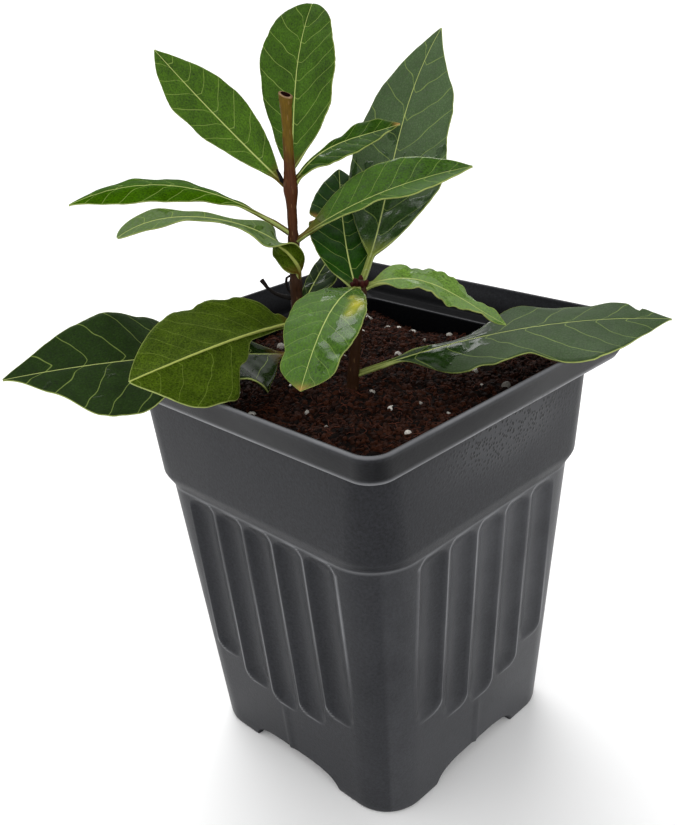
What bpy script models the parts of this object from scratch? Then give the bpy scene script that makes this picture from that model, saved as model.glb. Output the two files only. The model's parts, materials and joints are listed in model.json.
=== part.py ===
"""A young bay laurel growing in a square, fluted nursery pot.

Blender works in metres; every size below is in millimetres and is scaled by MM where a mesh is made.
The origin is the middle of the pot's flat underside, +Z up.
"""
from math import asin, cos, degrees, log, pi, radians, sin, sqrt

import bmesh
import bpy
from mathutils import Vector

MM = 0.001
GAP = 0.3                    # clear space kept between neighbouring pieces

# Pot: half width across the flats and corner radius at each height
POT_HEIGHT = 114.0
FOOT_HALF, FOOT_CORNER = 34.6, 11.0
SHOULDER_Z, SHOULDER_HALF, SHOULDER_CORNER = 76.5, 39.9, 12.5
COLLAR_Z, COLLAR_HALF, COLLAR_CORNER = 79.5, 41.0, 10.5
BAND_Z, COLLAR_TOP_HALF, COLLAR_TOP_CORNER = 105.0, 41.8, 8.5
BAND_HALF, BAND_CORNER = 46.5, 6.0
RIM_HALF, RIM_CORNER = 50.0, 5.5
WALL = 1.2
FLOOR_TOP = 6.4

# Flutes: five shallow grooves in each face between narrow ridges
FLUTES = 5
FLUTE_PITCH = 10.6
FLUTE_DEPTH = 1.8
RIDGE_SHARE = 0.14           # share of the pitch's half that the ridge keeps
FLUTE_FOOT = 21.0            # where the middle flute starts
FLUTE_FOOT_RISE = 1.75       # how much higher the next ones start, times the square of their place
FLUTE_END = 4.0              # length of the rounded end
FLUTE_HEAD = 76.5

# Foot: an arched notch in each side with a drain hole in its roof
NOTCH_HALF, NOTCH_HEIGHT, NOTCH_DEPTH = 16.5, 5.2, 14.0
DRAIN_RADIUS, DRAIN_OUT = 3.6, 26.5

# Potting mix
MIX_TOP = 103.4
MIX_SWELL = 0.5              # how far its top rises and falls

# Stems: two points on the axis of each, and its radius at each height. The main stem is cut square at its
# top, the side shoot ends in a bud, and both have a flared foot and swell where leaves leave them
STEM_FOOT = MIX_TOP + MIX_SWELL + GAP
STEMS = {
    "main_stem": dict(low=Vector((-13.6, -9.3, 103.5)), high=Vector((-12.3, -8.1, 171)),
                      radii=((STEM_FOOT, 2.1), (105.5, 1.75), (109, 1.6), (118, 1.5), (125.5, 1.5),
                             (127, 1.75), (129, 1.3), (135.5, 1.25), (137.3, 1.6), (139.5, 1.2),
                             (146.5, 1.25), (149.5, 1.85), (152, 1.6), (155, 1.35), (163, 1.35),
                             (169, 1.4), (170.3, 1.6), (171, 1.6))),
    "side_shoot": dict(low=Vector((6.4, -11.2, 103.5)), high=Vector((8.9, -8.8, 130.5)),
                       radii=((STEM_FOOT, 1.7), (105.5, 1.4), (108, 1.5), (112, 1.3), (120, 1.25),
                              (125.5, 1.35), (128, 1.7), (130, 1.6), (130.8, 1.2), (131.3, 0.6))),
}

# Leaves
LEAF_THICK = 0.8
STALK_HALF = 0.75            # half width of the leaf stalk
LEAF_ROWS = 15
LEAF_COLUMNS = (-1, -0.5, 0, 0.5, 1)


def material(name, colour, roughness):
    mat = bpy.data.materials.new(name)
    mat.use_nodes = True
    shader = mat.node_tree.nodes["Principled BSDF"]
    shader.inputs["Base Color"].default_value = (*colour, 1)
    shader.inputs["Roughness"].default_value = roughness
    return mat


def add_object(name, mesh, mat):
    obj = bpy.data.objects.new(name, mesh)
    obj.data.materials.append(mat)
    bpy.context.collection.objects.link(obj)
    return obj


def mesh_from(name, bm, sharp=35):
    bmesh.ops.recalc_face_normals(bm, faces=bm.faces)
    mesh = bpy.data.meshes.new(name)
    bm.to_mesh(mesh)
    bm.free()
    mesh.shade_smooth()
    mesh.set_sharp_from_angle(angle=radians(sharp))
    return mesh


def loft(rings):
    """One closed body through rings of equally many points, with a flat face at each end."""
    bm = bmesh.new()
    loops = [[bm.verts.new(Vector(p) * MM) for p in ring] for ring in rings]
    count = len(loops[0])
    for low, high in zip(loops, loops[1:]):
        for i in range(count):
            j = (i + 1) % count
            bm.faces.new((low[i], low[j], high[j], high[i]))
    bm.faces.new(loops[0][::-1])
    bm.faces.new(loops[-1])
    return bm


# Pot

def face_places():
    """Places across one face: both edges of each ridge and two points in each flute's bowl."""
    half = FLUTE_PITCH / 2
    edge = 1 - RIDGE_SHARE
    return [(k - (FLUTES - 1) / 2) * FLUTE_PITCH + half * q
            for k in range(FLUTES) for q in (-edge, -0.35, 0.35, edge)]


def flute_depth(across, z):
    """How deep the flutes cut at one place of a face; nothing on the ridges and past the rounded ends."""
    k = round(across / FLUTE_PITCH)
    q = (across - k * FLUTE_PITCH) / (FLUTE_PITCH / 2) / (1 - RIDGE_SHARE)
    foot = FLUTE_FOOT + FLUTE_FOOT_RISE * k * k
    rise = min(z - foot, FLUTE_HEAD - z) / FLUTE_END
    if rise <= 0 or abs(q) >= 0.999:
        return 0.0
    return FLUTE_DEPTH * (1 - q * q) * sqrt(min(rise, 1) * (2 - min(rise, 1)))


def pot_ring(half, corner, z, fluted=False, corner_points=5):
    """A rounded square at height z, with the flutes pressed in."""
    flat = half - corner
    places = face_places()
    start = degrees(asin(max(0, (places[-1] + 1 - flat) / corner))) if places[-1] + 1 > flat else 0
    ring = []
    for side in range(4):
        quarter = []
        for x in places:
            over = max(0, abs(x) - flat)
            y = flat + sqrt(corner ** 2 - over ** 2) - (flute_depth(x, z) if fluted else 0)
            quarter.append((x, -y))
        for k in range(corner_points):
            a = radians(start + (90 - 2 * start) * k / (corner_points - 1))
            quarter.append((flat + corner * sin(a), -flat - corner * cos(a)))
        turn = side * pi / 2
        ring += [(x * cos(turn) - y * sin(turn), x * sin(turn) + y * cos(turn), z) for x, y in quarter]
    return ring


def blend(z, low, high):
    """Half width and corner radius at height z between two (z, half, corner) stations."""
    t = (z - low[0]) / (high[0] - low[0])
    return low[1] + t * (high[1] - low[1]), low[2] + t * (high[2] - low[2])


def pot_body():
    foot = (0, FOOT_HALF, FOOT_CORNER)
    shoulder = (SHOULDER_Z, SHOULDER_HALF, SHOULDER_CORNER)
    rings = [pot_ring(FOOT_HALF - 1.4, FOOT_CORNER - 1.4, 0),
             pot_ring(FOOT_HALF - 0.4, FOOT_CORNER - 0.4, 0.5)]
    for z in (2, 20, 23, 26, 29, 32, 72.5, 74.5, 76, SHOULDER_Z):
        rings.append(pot_ring(*blend(z, foot, shoulder), z, fluted=True))
    rings += [pot_ring(COLLAR_HALF, COLLAR_CORNER, COLLAR_Z),
              pot_ring(COLLAR_TOP_HALF, COLLAR_TOP_CORNER, BAND_Z - 0.2),
              pot_ring(BAND_HALF, BAND_CORNER, BAND_Z),
              pot_ring(RIM_HALF - 0.1, RIM_CORNER, POT_HEIGHT - 0.4),
              pot_ring(RIM_HALF - 0.5, RIM_CORNER - 0.4, POT_HEIGHT),
              pot_ring(RIM_HALF - WALL, RIM_CORNER - 0.8, POT_HEIGHT),
              pot_ring(BAND_HALF - WALL + 0.4, BAND_CORNER - 0.8, BAND_Z + WALL),
              pot_ring(COLLAR_TOP_HALF - WALL, COLLAR_TOP_CORNER - 0.8, BAND_Z + WALL),
              pot_ring(COLLAR_HALF - WALL, COLLAR_CORNER - 0.8, COLLAR_Z + 1),
              pot_ring(SHOULDER_HALF - FLUTE_DEPTH - WALL, SHOULDER_CORNER - 2, SHOULDER_Z),
              pot_ring(FOOT_HALF - FLUTE_DEPTH - WALL, FOOT_CORNER - 2, FLOOR_TOP)]
    return loft(rings)


def notch_cutter(side):
    """An arched bar that cuts one notch in the foot, from outside to NOTCH_DEPTH in."""
    steps = 10
    arch = [(-NOTCH_HALF, -1.0)]
    for k in range(steps + 1):
        x = -cos(pi * k / steps)
        arch.append((NOTCH_HALF * x, NOTCH_HEIGHT * (1 - x ** 4) ** 0.5))
    arch.append((NOTCH_HALF, -1.0))
    bm = bmesh.new()
    near = [bm.verts.new(Vector((x, -FOOT_HALF - 3, z)) * MM) for x, z in arch]
    face = bm.faces.new(near)
    out = bmesh.ops.extrude_face_region(bm, geom=[face])["geom"]
    moved = [v for v in out if isinstance(v, bmesh.types.BMVert)]
    bmesh.ops.translate(bm, vec=Vector((0, NOTCH_DEPTH + 3, 0)) * MM, verts=moved)
    cutter = bpy.data.objects.new(f"notch_{side}", mesh_from("notch", bm))
    cutter.rotation_euler.z = side * pi / 2
    return cutter


def drain_cutter(side):
    bm = bmesh.new()
    bmesh.ops.create_cone(bm, cap_ends=True, segments=16, radius1=DRAIN_RADIUS * MM,
                          radius2=DRAIN_RADIUS * MM, depth=6 * MM)
    cutter = bpy.data.objects.new(f"drain_{side}", mesh_from("drain", bm))
    turn = side * pi / 2
    cutter.location = Vector((DRAIN_OUT * sin(turn), -DRAIN_OUT * cos(turn), NOTCH_HEIGHT)) * MM
    return cutter


def make_pot(mat):
    pot = add_object("pot", mesh_from("pot", pot_body()), mat)
    cutters = bpy.data.collections.new("pot_cutters")
    bpy.context.scene.collection.children.link(cutters)
    for side in range(4):
        for cutter in (notch_cutter(side), drain_cutter(side)):
            cutter.hide_render = True
            cutter.display_type = "WIRE"
            cutters.objects.link(cutter)
    cut = pot.modifiers.new("foot", "BOOLEAN")
    cut.operation = "DIFFERENCE"
    cut.operand_type = "COLLECTION"
    cut.collection = cutters


# Potting mix

def mix_height(x, y):
    return MIX_TOP + MIX_SWELL * (sin(x / 7 + 1) * cos(y / 9) + 0.6 * sin(x / 4 - y / 5)) / 1.6


def mix_ring(half, corner, z, per_side=6, per_corner=3):
    flat = half - corner
    ring = []
    for side in range(4):
        turn = side * pi / 2
        quarter = [(flat * (2 * k / per_side - 1), -half) for k in range(per_side)]
        for k in range(per_corner):
            a = radians(90 * k / per_corner)
            quarter.append((flat + corner * sin(a), -flat - corner * cos(a)))
        ring += [(x * cos(turn) - y * sin(turn), x * sin(turn) + y * cos(turn), z) for x, y in quarter]
    return ring


def make_mix(mat):
    slack = WALL + 2 * GAP
    low = FOOT_HALF - FLUTE_DEPTH - slack
    high = SHOULDER_HALF - FLUTE_DEPTH - slack
    edge = COLLAR_TOP_HALF - slack
    rings = [mix_ring(low, FOOT_CORNER - 2, FLOOR_TOP + GAP),
             mix_ring(high, SHOULDER_CORNER - 2, SHOULDER_Z),
             mix_ring(COLLAR_HALF - slack, COLLAR_CORNER - 1, COLLAR_Z + 1.6)]
    for share in (1, 0.86, 0.68, 0.48, 0.28, 0.1):
        rings.append([(x, y, mix_height(x, y))
                      for x, y, _ in mix_ring(edge * share, (COLLAR_TOP_CORNER - 1) * share, 0)])
    return add_object("potting_mix", mesh_from("potting_mix", loft(rings)), mat)


# Stems

def make_stem(name, points, radii, mat, sides=2):
    """A tapering limb: a round-section curve through points, with a flat cut at each end."""
    curve = bpy.data.curves.new(name, "CURVE")
    curve.dimensions = "3D"
    curve.bevel_depth = MM
    curve.bevel_resolution = sides
    curve.use_fill_caps = True
    spline = curve.splines.new("POLY")
    spline.points.add(len(points) - 1)
    for knot, place, radius in zip(spline.points, points, radii):
        knot.co = (*(Vector(place) * MM), 1)
        knot.radius = radius
    return add_object(name, curve, mat)


def stem_axis(stem, z):
    """The middle of a stem at height z."""
    low, high = STEMS[stem]["low"], STEMS[stem]["high"]
    return low + (high - low) * ((z - low.z) / (high.z - low.z))


def stem_radius(stem, z):
    radii = STEMS[stem]["radii"]
    for (z0, r0), (z1, r1) in zip(radii, radii[1:]):
        if z <= z1:
            return r0 + (r1 - r0) * max(0, z - z0) / (z1 - z0)
    return radii[-1][1]


def make_stems(bark):
    for stem, shape in STEMS.items():
        heights, radii = zip(*shape["radii"])
        make_stem(stem, [stem_axis(stem, z) for z in heights], radii, bark)
    twig = ((-14.7, -10.1, 123.3), (-16.8, -10.6, 123.5), (-18.7, -11.3, 124.1), (-20.6, -11.8, 125.2),
            (-22.4, -12, 127))
    make_stem("dead_twig", twig, (0.6, 0.5, 0.5, 0.5, 0.6), bark)


# Leaves

def leaf_path(leaf, t):
    """Point and direction at share t of the midrib, a cubic from the stem's axis to the leaf's tip."""
    base, tip = stem_axis(leaf["stem"], leaf["base"]), Vector(leaf["tip"])
    chord = tip - base
    ahead = chord.normalized()
    up = (Vector((0, 0, 1)) - ahead * ahead.z).normalized()
    side = ahead.cross(up)
    lift, swing = leaf["lift"], leaf.get("swing", (0, 0))
    reach = leaf.get("reach", (1 / 3, 2 / 3))
    c1 = base + chord * reach[0] + up * lift[0] + side * swing[0]
    c2 = base + chord * reach[1] + up * lift[1] + side * swing[1]
    u = 1 - t
    point = base * u ** 3 + c1 * (3 * u * u * t) + c2 * (3 * u * t * t) + tip * t ** 3
    slope = (c1 - base) * (u * u) + (c2 - c1) * (2 * u * t) + (tip - c2) * (t * t)
    return point, slope.normalized(), up


def eased(keys, s):
    """Value at s of keys spread evenly from 0 to 1, eased between them."""
    if len(keys) == 1:
        return keys[0]
    x = s * (len(keys) - 1)
    k = min(int(x), len(keys) - 2)
    f = (1 - cos(pi * (x - k))) / 2
    return keys[k] * (1 - f) + keys[k + 1] * f


def half_width(leaf, s, v):
    """Width of one half of the blade at s: widest where the leaf says, fuller or leaner by its power."""
    power = log(0.5) / log(leaf.get("widest", 0.45))
    share = eased(leaf.get("left" if v < 0 else "right", (1,)), s)
    return leaf["width"] / 2 * share * max(0, sin(pi * s ** power)) ** leaf.get("full", 0.85)


def leaf_row(leaf, t):
    """One row of points across the leaf at share t of its midrib, stalk and blade alike."""
    stalk = leaf.get("stalk", 0.08)
    s = min(max((t - stalk) / (1 - stalk), 0), 1)
    point, ahead, up = leaf_path(leaf, t)
    normal = (up - ahead * ahead.dot(up)).normalized()
    side = ahead.cross(normal)
    roll = radians(eased(leaf["roll"], s))
    normal = normal * cos(roll) + side * sin(roll)
    side = ahead.cross(normal)
    fold = radians(leaf.get("fold", 8))
    row = []
    for v in LEAF_COLUMNS:
        blade = half_width(leaf, s, v)
        half = sqrt(blade ** 2 + (STALK_HALF * (1 - 0.7 * t)) ** 2)
        phase = 0 if v < 0 else 1.9
        wave = leaf.get("wave", 0) * v * v * sin(5 * pi * s + phase) * min(1, 9 * s * (1 - s))
        row.append(point + side * (half * v * cos(fold)) + normal * (blade * abs(v) * sin(fold) + wave))
    return row


def clear_start(leaf):
    """Share of the midrib where the leaf's stalk stands clear of its stem."""
    stem, t = leaf["stem"], 0.0
    while True:
        spare = min((p - stem_axis(stem, p.z)).length - stem_radius(stem, p.z) for p in leaf_row(leaf, t))
        if spare > LEAF_THICK / 2 + GAP:
            return t
        t += 0.002


def make_leaf(name, leaf, mat):
    start = clear_start(leaf)
    bm = bmesh.new()
    rows = []
    for k in range(LEAF_ROWS):
        x = k / (LEAF_ROWS - 1)
        x = 0.6 * x + 0.4 * (1 - cos(pi * x)) / 2
        row = leaf_row(leaf, start + (1 - start) * x)
        rows.append([bm.verts.new(p * MM) for p in row])
    for low, high in zip(rows, rows[1:]):
        for i in range(len(LEAF_COLUMNS) - 1):
            bm.faces.new((low[i], low[i + 1], high[i + 1], high[i]))
    mesh = bpy.data.meshes.new(name)
    bm.to_mesh(mesh)
    bm.free()
    mesh.shade_smooth()
    obj = add_object(name, mesh, mat)
    thick = obj.modifiers.new("thickness", "SOLIDIFY")
    thick.thickness = LEAF_THICK * MM
    thick.offset = 0
    return obj


# Each leaf: the height where it leaves its stem, its tip, how far its midrib arches (lift) and bends
# sideways (swing) and at which shares of its length (reach), its greatest width, its roll about the midrib
# in degrees, the fold of its two halves and shares of the width for the left and the right half, spread
# evenly from base to tip
MAIN_LEAVES = {
    "leaf_crown_upright": dict(base=151, tip=(-32.3, 21.3, 188.6), lift=(-2, 0), swing=(-1, -4), width=20.5,
                               roll=(-8,), full=0.6, widest=0.6, fold=12, left=(1, 0.8, 0.85, 1, 1.3),
                               right=(1.4, 1.4, 1.1, 1, 1.2)),
    "leaf_crown_left": dict(base=149.5, tip=(-53, -13.4, 180.6), lift=(0, 0), swing=(-1, -1), width=14.5,
                            roll=(-50,), full=0.95, left=(0.5, 0.65, 0.85, 1.2, 1.6),
                            right=(1, 1, 1.05, 1.1, 1.1)),
    "leaf_crown_right": dict(base=149, tip=(1.8, 14.6, 162.3), lift=(8, 2), width=12, roll=(30,), full=1,
                             widest=0.55, fold=10, left=(0.1, 0.1, 0.3, 0.8, 1.3),
                             right=(1.6, 1.3, 1, 0.8, 0.5)),
    "leaf_upper_left": dict(base=139, tip=(-53.9, -43.3, 148.2), lift=(10, 11), width=15,
                            roll=(0, -15, -25), fold=-18, full=1, widest=0.58,
                            left=(0.4, 0.6, 0.72, 0.8, 0.8)),
    "leaf_upper_right": dict(base=137, tip=(24, 13.6, 154.5), lift=(4, 4), swing=(4, 4), width=15,
                             roll=(35,), fold=20, full=1, widest=0.5, left=(0.8, 0.95, 0.95, 1.05, 1.2),
                             right=(0.5, 0.5, 0.5, 1.2, 1.5)),
    "leaf_middle_left": dict(base=127, tip=(-32, -45, 143.5), reach=(0, 0.75), lift=(13, 15),
                             swing=(-5.5, 0), width=10, roll=(90, 45, -40, -35, -40, -45, -40), full=0.6,
                             widest=0.35, left=(0.6, 0.7, 0.75, 0.2, 0.3, 0.9, 1.2),
                             right=(1, 1.1, 0.7, 0.2, 0.35, 1, 1.4)),
    "leaf_turned_left": dict(base=117, tip=(-0.5, -66.8, 123.2), lift=(3, 3), swing=(-4, -4),
                             width=27, roll=(110, 145, 138), full=0.8, widest=0.52,
                             left=(0.9, 1.05, 1, 0.95, 0.95), right=(0.1, 0.1, 0.1, 0.45, 1.05, 1.25, 1)),
    "leaf_low_left": dict(base=108, tip=(-29, -79.8, 121), lift=(4, 4.6), swing=(-4, -4), width=31,
                          roll=(-30, -26, -8, -22, -44, -45, -45), widest=0.52,
                          left=(1.1, 1.6, 1.8, 1.3, 0.88, 1, 1.1, 0.75, 0.3),
                          right=(0.6, 0.9, 0.87, 0.82, 0.65)),
    "leaf_low_back": dict(base=119, tip=(-21, 17, 131), lift=(1, 3), width=13, roll=(0,), left=(0.4,)),
}
SHOOT_LEAVES = {
    "leaf_shoot_middle": dict(base=127, tip=(-21, 16, 149.5), lift=(0, 0), swing=(-2, -1), width=19,
                              roll=(0,), stalk=0.06, widest=0.48, left=(0.85, 0.9, 1),
                              right=(0.85, 0.95, 1)),
    "leaf_shoot_right": dict(base=129, tip=(33.5, 13.6, 119.1), lift=(11, 2.5), width=13, roll=(25,),
                             wave=0.9, left=(1, 0.8, 0.62, 0.6, 0.8), right=(0.6, 0.6, 0.75, 0.6, 0.6)),
    "leaf_shoot_front": dict(base=129.5, tip=(24, -43, 119.3), lift=(8, 6), width=18.5, roll=(0,), full=0.9,
                             widest=0.5, left=(0.9, 0.9, 0.95, 1.1, 2.4), right=(1.4, 1, 0.9, 0.9, 2)),
    "leaf_shoot_tall": dict(base=130, tip=(-11, 46, 181), lift=(-6, -4), swing=(-1, -8.5), width=24,
                            roll=(0,), full=0.9, stalk=0.12, left=(0.8, 0.9, 0.9, 0.95, 0.95),
                            right=(1.3, 1.35, 1.15, 1.35, 1.2)),
    "leaf_low_right": dict(base=108, tip=(60, 42.5, 117.5), lift=(5, 6), width=25, roll=(20, 5, 8), wave=1,
                           fold=-4, widest=0.62, full=1.1, left=(0.4, 0.5, 1, 0.95, 1.2),
                           right=(0.3, 2.3, 1.1, 1.5, 1.1)),
}


def main():
    for obj in list(bpy.data.objects):
        bpy.data.objects.remove(obj, do_unlink=True)
    plastic = material("black_pot_plastic", (0.035, 0.037, 0.04), 0.42)
    mix = material("damp_potting_mix", (0.03, 0.02, 0.015), 0.95)
    bark = material("young_bay_bark", (0.09, 0.05, 0.03), 0.7)
    leaf_green = material("bay_leaf_green", (0.07, 0.13, 0.035), 0.45)
    make_pot(plastic)
    make_mix(mix)
    make_stems(bark)
    for stem, leaves in (("main_stem", MAIN_LEAVES), ("side_shoot", SHOOT_LEAVES)):
        for name, leaf in leaves.items():
            make_leaf(name, dict(leaf, stem=stem), leaf_green)


main()
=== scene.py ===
import json
from math import asin, cos, degrees, exp, hypot, log, pi, radians, sin, sqrt

import bmesh
import bpy
import numpy as np
from mathutils import Matrix, Vector, noise

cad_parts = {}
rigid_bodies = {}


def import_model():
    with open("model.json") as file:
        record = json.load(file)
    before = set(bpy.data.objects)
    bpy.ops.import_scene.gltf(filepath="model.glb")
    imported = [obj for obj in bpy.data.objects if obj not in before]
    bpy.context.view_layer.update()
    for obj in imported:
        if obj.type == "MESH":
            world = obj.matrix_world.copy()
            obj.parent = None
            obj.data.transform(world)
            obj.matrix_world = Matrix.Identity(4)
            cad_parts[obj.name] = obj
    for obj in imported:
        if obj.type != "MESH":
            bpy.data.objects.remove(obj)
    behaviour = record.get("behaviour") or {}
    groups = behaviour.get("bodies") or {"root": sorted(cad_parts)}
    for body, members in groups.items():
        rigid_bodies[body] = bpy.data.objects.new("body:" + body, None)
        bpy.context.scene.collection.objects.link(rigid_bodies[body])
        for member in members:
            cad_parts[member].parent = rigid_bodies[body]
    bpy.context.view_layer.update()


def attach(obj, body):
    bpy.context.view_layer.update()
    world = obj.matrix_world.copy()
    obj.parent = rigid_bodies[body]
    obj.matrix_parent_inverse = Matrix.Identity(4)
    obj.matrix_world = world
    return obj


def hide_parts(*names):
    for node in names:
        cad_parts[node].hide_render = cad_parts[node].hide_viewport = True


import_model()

# A young bay laurel in a square, fluted nursery pot. Sizes are in millimetres in the frame of the CAD, and
# each mesh is scaled by MM when it is made.
MM = 0.001
BODY = "root"

POT_HEIGHT = 114.0
FOOT_HALF, FOOT_CORNER = 34.6, 11.0
SHOULDER_Z, SHOULDER_HALF, SHOULDER_CORNER = 76.5, 39.9, 12.5
COLLAR_Z, COLLAR_HALF, COLLAR_CORNER = 79.5, 41.0, 10.5
BAND_Z, COLLAR_TOP_HALF, COLLAR_TOP_CORNER = 105.0, 41.8, 8.5
BAND_HALF, BAND_CORNER = 46.5, 6.0
RIM_HALF, RIM_CORNER = 50.0, 5.5
WALL = 1.2
FLOOR_TOP = 6.4

FLUTES, FLUTE_PITCH, FLUTE_DEPTH = 5, 10.6, 1.8
FLUTE_HALF = 4.8             # half width of a flute; a narrow ridge stands between each two
FLUTE_FOOT, FLUTE_FOOT_RISE, FLUTE_HEAD = 21.0, 1.75, 76.5
FLUTE_ROUND = 2.8            # corner radius of a flute's outline
RIB_TOP, RIB_WIDTH, RIB_STEEP = 20.5, 1.6, 0.25

NOTCH_HALF, NOTCH_HEIGHT, NOTCH_DEPTH = 16.5, 5.2, 14.0
DRAIN_RADIUS, DRAIN_OUT = 3.6, 26.5

STEMS = {
    "main_stem": dict(low=Vector((-13.6, -9.3, 103.5)), high=Vector((-12.3, -8.1, 171)),
                      radii=((102, 2.3), (104.2, 2.1), (105.5, 1.75), (109, 1.6), (118, 1.5), (125.5, 1.5),
                             (127, 1.75), (129, 1.3), (135.5, 1.25), (137.3, 1.6), (139.5, 1.2),
                             (146.5, 1.25), (149.5, 1.85), (152, 1.6), (155, 1.3), (163, 1.15),
                             (169, 1.4), (170.3, 1.65), (171, 1.65))),
    "side_shoot": dict(low=Vector((6.4, -11.2, 103.5)), high=Vector((8.9, -8.8, 130.5)),
                       radii=((102, 1.9), (104.2, 1.7), (105.5, 1.4), (108, 1.5), (112, 1.3), (120, 1.25),
                              (125.5, 1.35), (128, 1.7), (130, 1.6), (130.8, 1.2), (131.3, 0.6))),
}
STEM_SIDES = 24
STALK_HALF = 0.75
LEAF_ROWS, LEAF_SPREAD = 120, 18    # rows along a leaf's mesh, and columns on each side of its midrib

# Each leaf: the height where it leaves its stem, its tip, how far its midrib arches (lift) and bends
# sideways (swing) and at which shares of its length (reach), its greatest width, its roll about the midrib
# in degrees, the fold of its two halves and shares of the width for the left and the right half, spread
# evenly from base to tip. Its tones are its upper side's darker and lighter green, set leaf by leaf so that
# they hold painted shade and light besides the leaf's own colour, how wet it is and how strong its painted
# grey sheen, from 0 to 1. Its film tells where it is wetter (above 0) or drier, where the painted sheen
# shows: share of its length and width, reach along and across, strength. Its marks tell the same way where it
# has turned brown (above 0) or yellow. Its nicks tell where a margin is nicked: share of its length, reach
# along and depth as a share of its half width.
MAIN_LEAVES = {
    "leaf_crown_upright": dict(
        base=151, tip=(-32.3, 21.3, 188.6), lift=(-2, 0), swing=(-1, -4), width=20.5, roll=(-8,), full=0.6,
        widest=0.6, fold=12, left=(1, 0.8, 0.85, 1, 1.3), right=(1.4, 1.4, 1.1, 1, 1.2),
        tones=("#1e3006", "#3c5c12", 0.1, 0.04)),
    "leaf_crown_left": dict(
        base=149.5, tip=(-53, -13.4, 180.6), lift=(0, 0), swing=(-1, -1), width=14.5, roll=(-50,), full=0.95,
        left=(0.5, 0.65, 0.85, 1.2, 1.6), right=(1, 1, 1.05, 1.1, 1.1),
        tones=("#20340a", "#426212", 0.15, 0.04)),
    "leaf_crown_right": dict(
        base=149, tip=(1.8, 14.6, 162.3), lift=(8, 2), width=12, roll=(30,), full=1, widest=0.55, fold=10,
        left=(0.1, 0.1, 0.3, 0.8, 1.3), right=(1.6, 1.3, 1, 0.8, 0.5), tones=("#162804", "#2c4a0c", 0.2, 0),
        marks=((1, 0, 0.04, 1, 1),)),
    "leaf_upper_left": dict(
        base=139, tip=(-53.9, -43.3, 148.2), lift=(10, 11), width=15, roll=(0, -15, -25), fold=-18, full=1,
        widest=0.58, left=(0.4, 0.6, 0.72, 0.8, 0.8), tones=("#223c00", "#365a00", 0, 0)),
    "leaf_upper_right": dict(
        base=137, tip=(24, 13.6, 154.5), lift=(4, 4), swing=(4, 4), width=15, roll=(35,), fold=20, full=1,
        widest=0.5, left=(0.8, 0.95, 0.95, 1.05, 1.2), right=(0.5, 0.5, 0.5, 1.2, 1.5),
        tones=("#1e3606", "#3c6010", 0.25, 0.1),
        film=((0.45, 0.5, 0.25, 0.3, -0.8), (0.75, -0.5, 0.2, 0.8, 0.5))),
    "leaf_middle_left": dict(
        base=127, tip=(-32, -45, 143.5), reach=(0, 0.75), lift=(13, 15), swing=(-5.5, 0), width=10,
        roll=(90, 45, -40, -35, -40, -45, -40), full=0.6, widest=0.35,
        left=(0.6, 0.7, 0.75, 0.2, 0.3, 0.9, 1.2), right=(1, 1.1, 0.7, 0.2, 0.35, 1, 1.4),
        tones=("#2e420c", "#4b6824", 0.3, 0.34)),
    "leaf_turned_left": dict(
        base=117, tip=(-0.5, -66.8, 123.2), lift=(3, 3), swing=(-4, -4), width=27, roll=(110, 145, 138),
        full=0.8, widest=0.52, left=(0.9, 1.05, 1, 0.95, 0.95), right=(0.1, 0.1, 0.1, 0.45, 1.05, 1.25, 1),
        tones=("#3a5a1e", "#57762a", 0.1, 0.1),
        nicks_left=((0.1, 0.03, 0.3), (0.3, 0.03, 0.05), (0.47, 0.03, 0.05))),
    "leaf_low_left": dict(
        base=108, tip=(-29, -79.8, 121), lift=(4, 4.6), swing=(-4, -4), width=31,
        roll=(-30, -26, -8, -22, -44, -45, -45), widest=0.52,
        left=(1.1, 1.6, 1.8, 1.3, 0.88, 1, 1.1, 0.75, 0.3), right=(0.6, 0.9, 0.87, 0.82, 0.65),
        tones=("#0d1b05", "#1e320a", 0.2, 0.04), film=((0.15, 0, 0.2, 2, 0.6),)),
    "leaf_low_back": dict(
        base=119, tip=(-21, 17, 131), lift=(1, 3), width=13, roll=(0,), left=(0.4,),
        tones=("#0e1e04", "#1e3010", 0.2, 0)),
}
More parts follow.
